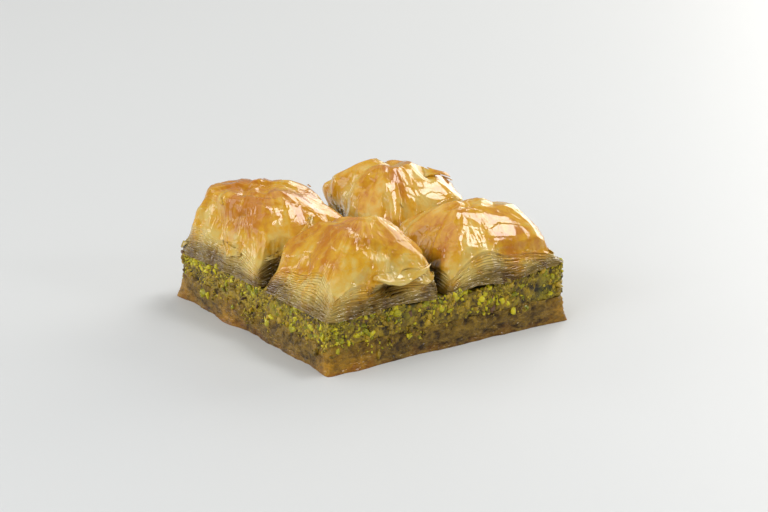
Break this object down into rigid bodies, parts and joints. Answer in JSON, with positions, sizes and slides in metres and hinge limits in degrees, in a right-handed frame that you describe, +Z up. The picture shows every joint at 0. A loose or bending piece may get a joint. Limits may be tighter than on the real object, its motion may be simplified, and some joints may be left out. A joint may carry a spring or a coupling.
{
  "type": "baklava piece",
  "caption": "Portion of layered baklava: puffed crisp squares parted by knife cuts on a thick layer of chopped pistachio and a syrup-soaked pastry base.",
  "frame": {"origin": "centre of the flat underside of the base, at the bottom of the object", "axes": "+Z up; X along the wide near side with a deep knife cut in its middle, +X to the right as seen from that side; +Y away from the viewer along the other side"},
  "size_m": [0.08, 0.08, 0.0364],
  "materials": {
    "soaked_pastry": "brown translucent leaves, wet with syrup",
    "chopped_pistachio": "moist green and olive crumbs",
    "crisp_pastry": "golden brown baked skin glazed with syrup"
  },
  "bodies": {
    "root": {"base_pastry": "soaked_pastry", "pistachio_filling": "chopped_pistachio", "top_front": "crisp_pastry", "top_right": "crisp_pastry", "top_left": "crisp_pastry", "top_back": "crisp_pastry"}
  },
  "joints": []
}
